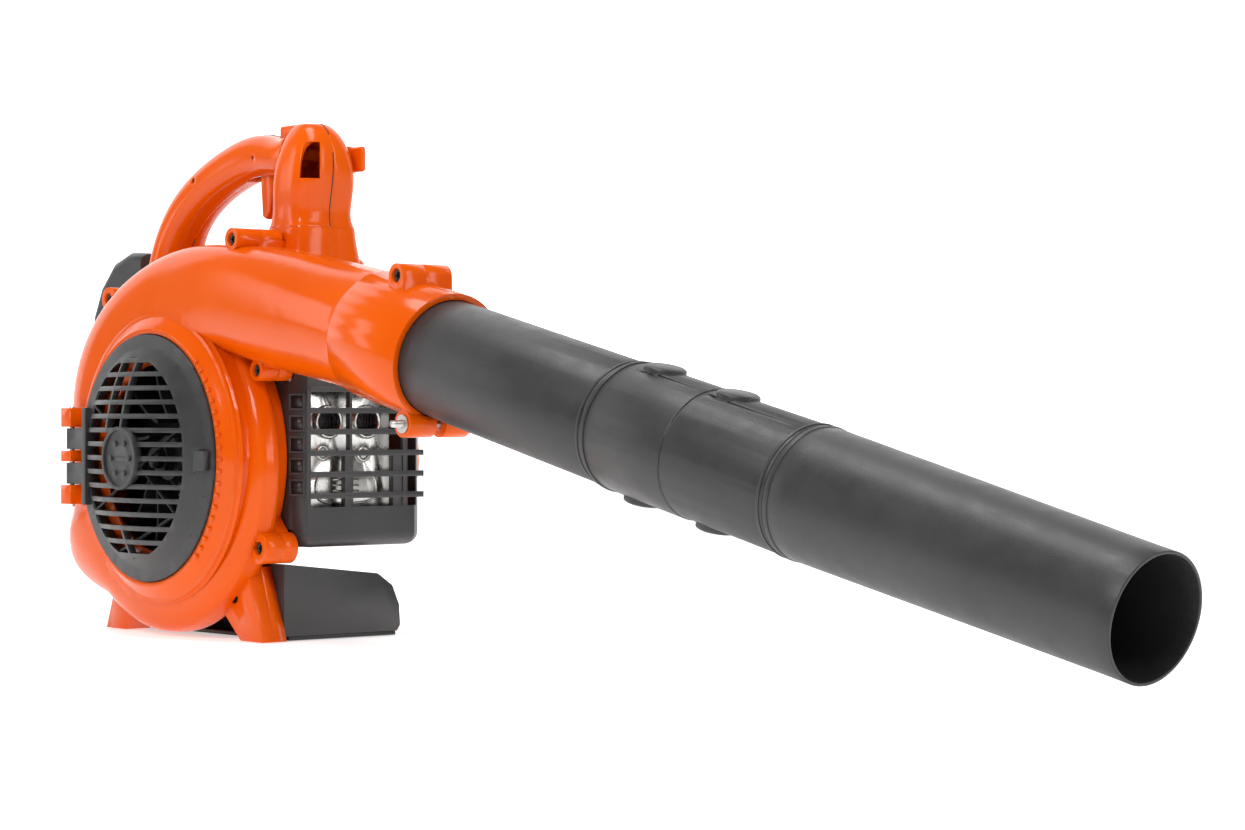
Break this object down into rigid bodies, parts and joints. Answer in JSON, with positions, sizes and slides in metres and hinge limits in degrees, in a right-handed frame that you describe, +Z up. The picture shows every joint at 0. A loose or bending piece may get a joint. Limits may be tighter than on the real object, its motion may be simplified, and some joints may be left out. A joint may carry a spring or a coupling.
{
  "type": "handheld leaf blower",
  "caption": "Hand-held petrol leaf blower: scroll fan housing with a swinging intake guard, top grip with trigger, engine with muffler guard and rope starter, stand and three-piece blow tube",
  "frame": {"origin": "centre of the base plate on the floor, straight under the fan and crankshaft axis", "axes": "+X is the blowing direction, +Y points from the intake guard to the rope starter, +Z is up"},
  "size_m": [1.095, 0.2295, 0.3666],
  "materials": {
    "orange_plastic": "glossy moulded orange plastic",
    "charcoal_plastic": "semi-matt charcoal plastic with a fine pebble grain",
    "black_plastic": "black moulded plastic",
    "rubber": "soft black rubber",
    "bright_steel": "bright pressed or turned steel",
    "cast_aluminium": "cast aluminium",
    "black_screws": "blackened steel",
    "tank_plastic": "translucent tank plastic",
    "filter_foam": "oiled filter foam",
    "rope_nylon": "braided nylon"
  },
  "bodies": {
    "housing": {"air_box": "charcoal_plastic", "air_filter": "filter_foam", "carburettor": "cast_aluminium", "clamp_bolt": "bright_steel", "clamp_nut": "black_screws", "crankcase": "cast_aluminium", "cylinder": "cast_aluminium", "engine_shroud": "orange_plastic", "filter_cover_hinge": "black_plastic", "fuel_line": "black_plastic", "fuel_tank": "tank_plastic", "guard_hinge_pin": "bright_steel", "handle_left_half": "orange_plastic", "handle_right_half": "orange_plastic", "handle_screws": "black_screws", "housing_screws": "black_screws", "ignition_lead": "black_plastic", "ignition_module": "black_plastic", "intake_insulator": "black_plastic", "main_bearings": "bright_steel", "muffler_body": "bright_steel", "muffler_cover": "bright_steel", "muffler_gasket": "bright_steel", "muffler_guard": "charcoal_plastic", "piston": "cast_aluminium", "plug_boot": "black_plastic", "recoil_spring": "bright_steel", "rope_guide": "black_plastic", "shaft_seals": "rubber", "spark_plug": "bright_steel", "stand": "charcoal_plastic", "stand_base_plate": "black_plastic", "stand_screws": "black_screws", "starter_housing": "orange_plastic", "throttle_cable": "black_plastic", "trigger_pin": "bright_steel", "upper_tube": "charcoal_plastic", "volute_inner_half": "orange_plastic", "volute_outer_half": "orange_plastic"},
    "rotor": {"crankshaft": "bright_steel", "impeller": "black_plastic", "shaft_nuts": "bright_steel", "flywheel": "cast_aluminium", "starter_cup": "black_plastic"},
    "guard_door": {"intake_guard": "charcoal_plastic", "guard_latch": "charcoal_plastic"},
    "trigger": {"throttle_trigger": "orange_plastic"},
    "throttle": {"throttle_arm": "bright_steel"},
    "cruise": {"cruise_lever": "orange_plastic"},
    "switch": {"stop_switch": "orange_plastic"},
    "choke": {"choke_lever": "black_plastic"},
    "primer": {"primer_bulb": "rubber"},
    "tank_cap": {"fuel_cap": "charcoal_plastic"},
    "filter_door": {"air_filter_cover": "charcoal_plastic"},
    "starter_drum": {"starter_pulley": "black_plastic"},
    "pull_grip": {"starter_grip": "charcoal_plastic", "starter_rope": "rope_nylon"},
    "tube_middle": {"middle_tube": "charcoal_plastic"},
    "tube_nozzle": {"nozzle_tube": "charcoal_plastic"}
  },
  "joints": [
    {"name": "rotor_spin", "type": "hinge", "parent": "housing", "child": "rotor", "pos_m": [0, 0, 0.128], "axis": [0, 1, 0], "continuous": true},
    {"name": "guard_swing", "type": "hinge", "parent": "housing", "child": "guard_door", "pos_m": [-0.103, -0.088, 0.128], "axis": [0, 0, -1], "range_deg": [0, 100]},
    {"name": "trigger_pull", "type": "hinge", "parent": "housing", "child": "trigger", "pos_m": [0.03, 0, 0.345], "axis": [0, 1, 0], "range_deg": [0, 15], "stiffness_Nm_per_rad": 0.4},
    {"name": "throttle_turn", "type": "hinge", "parent": "housing", "child": "throttle", "pos_m": [-0.066, 0.011, 0.206], "axis": [0, 0, 1], "range_deg": [0, 75]},
    {"name": "cruise_turn", "type": "hinge", "parent": "housing", "child": "cruise", "pos_m": [0.086, 0.026, 0.342], "axis": [0, 1, 0], "range_deg": [0, 50]},
    {"name": "stop_press", "type": "slide", "parent": "housing", "child": "switch", "axis": [0, 0, -1], "range_m": [0, 0.0025], "stiffness_N_per_m": 1200},
    {"name": "choke_turn", "type": "hinge", "parent": "housing", "child": "choke", "pos_m": [-0.08, 0.016, 0.176], "axis": [0, -1, 0], "range_deg": [0, 60]},
    {"name": "primer_press", "type": "slide", "parent": "housing", "child": "primer", "axis": [0, -1, 0], "range_m": [0, 0.004], "stiffness_N_per_m": 500},
    {"name": "fuel_cap_turn", "type": "hinge", "parent": "housing", "child": "tank_cap", "pos_m": [-0.15, 0.04, 0.098], "axis": [-1, 0, 0], "range_deg": [-300, 0]},
    {"name": "filter_cover_swing", "type": "hinge", "parent": "housing", "child": "filter_door", "pos_m": [-0.1, 0.077, 0.19], "axis": [0, 0, -1], "range_deg": [0, 95]},
    {"name": "starter_pull", "type": "slide", "parent": "housing", "child": "pull_grip", "axis": [0, 0, 1], "range_m": [0, 0.65], "stiffness_N_per_m": 4, "springref_m": -0.3, "deforming": ["starter_rope"]},
    {"name": "starter_drum_turn", "type": "hinge", "parent": "housing", "child": "starter_drum", "pos_m": [0, 0.068, 0.128], "axis": [0, 1, 0], "range_deg": [0, 1600]},
    {"name": "middle_tube_twist", "type": "hinge", "parent": "housing", "child": "tube_middle", "pos_m": [0.2978, -0.045, 0.1951], "axis": [0.973, 0, -0.2309], "range_deg": [0, 25]},
    {"name": "nozzle_twist", "type": "hinge", "parent": "tube_middle", "child": "tube_nozzle", "pos_m": [0.2978, -0.045, 0.1951], "axis": [0.973, 0, -0.2309], "range_deg": [0, 25]}
  ],
  "couplings": [
    {"joint": "throttle_turn", "follows": "trigger_pull", "ratio": 5},
    {"joint": "starter_drum_turn", "follows": "starter_pull", "rad_per_m": 41.667}
  ]
}
